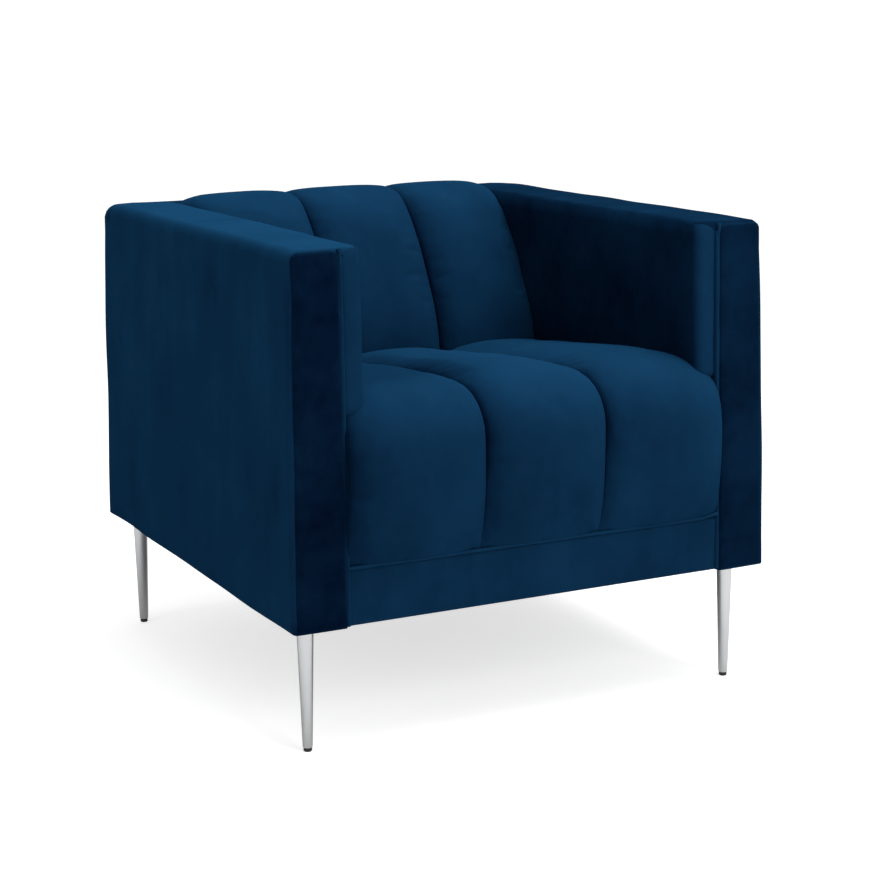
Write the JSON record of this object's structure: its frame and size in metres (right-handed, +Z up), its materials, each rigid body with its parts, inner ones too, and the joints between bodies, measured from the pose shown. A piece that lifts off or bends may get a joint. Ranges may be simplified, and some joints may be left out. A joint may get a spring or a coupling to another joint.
{
  "type": "upholstered armchair",
  "caption": "Low square armchair in deep blue velvet with level arms and back, vertical channels on the seat and back, and slim tapered chrome legs.",
  "frame": {"origin": "on the floor, under the middle of the overall box", "axes": "+X to the left hand of a person who sits in the chair, +Y from the front of the seat to the back, +Z up"},
  "size_m": [0.74, 0.8022, 0.6977],
  "materials": {
    "dust_cloth": "thin black non-woven cloth",
    "felt": "pressed grey felt",
    "fibre": "soft white fibre wadding",
    "foam": null,
    "frame_wood": "sawn hardwood, unfinished",
    "glide_plastic": "black moulded plastic",
    "hardboard": "brown hardboard",
    "leg_chrome": "polished chrome plate",
    "plywood": "unfinished plywood",
    "spring_steel": "dull drawn steel wire and pressed sheet",
    "velvet": "deep blue cut-pile velvet, soft nap",
    "webbing": "woven elastic strap"
  },
  "bodies": {
    "root": {"arm_cover_left": "velvet", "arm_cover_right": "velvet", "arm_facing_left": "velvet", "arm_facing_right": "velvet", "arm_pad_left": "velvet", "arm_pad_right": "velvet", "arm_top_rail_left": "frame_wood", "arm_top_rail_right": "frame_wood", "back_board": "hardboard", "back_channel_padding": "fibre", "back_cover": "velvet", "back_foam": "foam", "back_strut_left": "frame_wood", "back_strut_right": "frame_wood", "back_top_rail": "frame_wood", "back_webbing_lower": "webbing", "back_webbing_upper": "webbing", "corner_block_front_left": "frame_wood", "corner_block_front_right": "frame_wood", "corner_block_rear_left": "frame_wood", "corner_block_rear_right": "frame_wood", "dust_cover": "dust_cloth", "front_band": "velvet", "front_post_left": "frame_wood", "front_post_right": "frame_wood", "front_rail": "frame_wood", "glide_front_left": "glide_plastic", "glide_front_right": "glide_plastic", "glide_rear_left": "glide_plastic", "glide_rear_right": "glide_plastic", "inner_arm_board_left": "plywood", "inner_arm_board_right": "plywood", "leg_front_left": "leg_chrome", "leg_front_right": "leg_chrome", "leg_plate_front_left": "spring_steel", "leg_plate_front_right": "spring_steel", "leg_plate_rear_left": "spring_steel", "leg_plate_rear_right": "spring_steel", "leg_rear_left": "leg_chrome", "leg_rear_right": "leg_chrome", "outer_arm_board_left": "hardboard", "outer_arm_board_right": "hardboard", "outside_back_cover": "velvet", "rear_post_left": "frame_wood", "rear_post_right": "frame_wood", "rear_rail": "frame_wood", "seat_channel_padding": "fibre", "seat_cover": "velvet", "seat_felt": "felt", "seat_foam": "foam", "seat_piping": "velvet", "seat_spring_1": "spring_steel", "seat_spring_2": "spring_steel", "seat_spring_3": "spring_steel", "seat_spring_4": "spring_steel", "side_rail_left": "frame_wood", "side_rail_right": "frame_wood", "spring_clip_strip_front": "spring_steel", "spring_clip_strip_rear": "spring_steel", "spring_rail": "frame_wood"}
  },
  "joints": []
}
